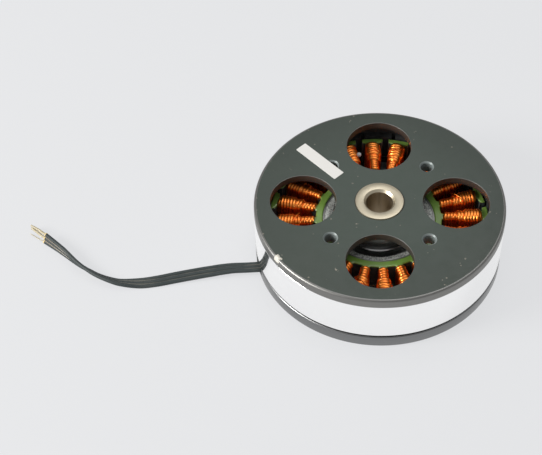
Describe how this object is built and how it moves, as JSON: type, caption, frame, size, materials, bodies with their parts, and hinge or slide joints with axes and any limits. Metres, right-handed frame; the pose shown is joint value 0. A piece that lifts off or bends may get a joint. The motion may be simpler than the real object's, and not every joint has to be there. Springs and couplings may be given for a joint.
{
  "type": "brushless outrunner motor",
  "caption": "Flat brushless outrunner motor with a hollow flanged shaft, a windowed rotor cover over a wound stator, a flat mounting base and a ribbon lead.",
  "frame": {"origin": "bottom centre of the base, on the shaft's axis", "axes": "+Z along the shaft from the base to the rotor cover; +X and +Y through the centres of two neighbouring cover windows at rest"},
  "size_m": [0.1698, 0.087, 0.0255],
  "materials": {
    "base_alloy": "fine turned, satin",
    "housing_alloy": "turned",
    "black_steel": "blackened",
    "support_metal": "rough turned",
    "core_steel": "laminated stack",
    "green_epoxy": "glossy powder coat",
    "copper_wire": "enamelled copper wire",
    "sleeve_black": "heat-shrink sleeve",
    "rubber_black": "moulded rubber",
    "lead_jacket": "soft satin silicone",
    "tinned_wire": "tinned strands",
    "bearing_steel": "ground",
    "shield_steel": "pressed sheet",
    "spring_steel": "spring steel",
    "cover_anodised": "dark grey matt anodised",
    "ring_polished": "mirror polished",
    "magnet_nickel": "nickel plated",
    "shaft_stainless": "turned stainless",
    "label_white": "matt film",
    "dab_white": "dried paint",
    "ball_steel": "polished",
    "cage_brass": "pressed"
  },
  "bodies": {
    "stator": {"base_plate": "base_alloy", "bearing_housing": "housing_alloy", "housing_screws": "black_steel", "stator_support": "support_metal", "stator_laminations": "core_steel", "insulation_upper": "green_epoxy", "insulation_lower": "green_epoxy", "winding_phase_a": "copper_wire", "winding_phase_b": "copper_wire", "winding_phase_c": "copper_wire", "star_point_sleeve": "sleeve_black", "lead_splices": "sleeve_black", "cord_grommet": "rubber_black", "lead_cord": "lead_jacket", "lead_bare_ends": "tinned_wire", "upper_bearing_outer_ring": "bearing_steel", "upper_bearing_shields": "shield_steel", "lower_bearing_outer_ring": "bearing_steel", "lower_bearing_shields": "shield_steel", "wave_washer": "spring_steel"},
    "rotor": {"rotor_cover": "cover_anodised", "flux_ring": "ring_polished", "magnets_north": "magnet_nickel", "magnets_south": "magnet_nickel", "hollow_shaft": "shaft_stainless", "upper_bearing_inner_ring": "bearing_steel", "lower_bearing_inner_ring": "bearing_steel", "bearing_spacer": "housing_alloy", "shim_washer": "spring_steel", "shaft_circlip": "black_steel", "cover_label": "label_white", "marker_dab": "dab_white"},
    "upper_ball_set": {"upper_bearing_balls": "ball_steel", "upper_bearing_cage": "cage_brass"},
    "lower_ball_set": {"lower_bearing_balls": "ball_steel", "lower_bearing_cage": "cage_brass"}
  },
  "joints": [
    {"name": "rotor_spin", "type": "hinge", "parent": "stator", "child": "rotor", "pos_m": [0, 0, 0.0125], "axis": [0, 0, 1], "continuous": true},
    {"name": "upper_ball_set_spin", "type": "hinge", "parent": "stator", "child": "upper_ball_set", "pos_m": [0, 0, 0.0175], "axis": [0, 0, 1], "continuous": true},
    {"name": "lower_ball_set_spin", "type": "hinge", "parent": "stator", "child": "lower_ball_set", "pos_m": [0, 0, 0.0049], "axis": [0, 0, 1], "continuous": true}
  ],
  "couplings": [
    {"joint": "upper_ball_set_spin", "follows": "rotor_spin", "ratio": 0.42788},
    {"joint": "lower_ball_set_spin", "follows": "rotor_spin", "ratio": 0.42788}
  ]
}
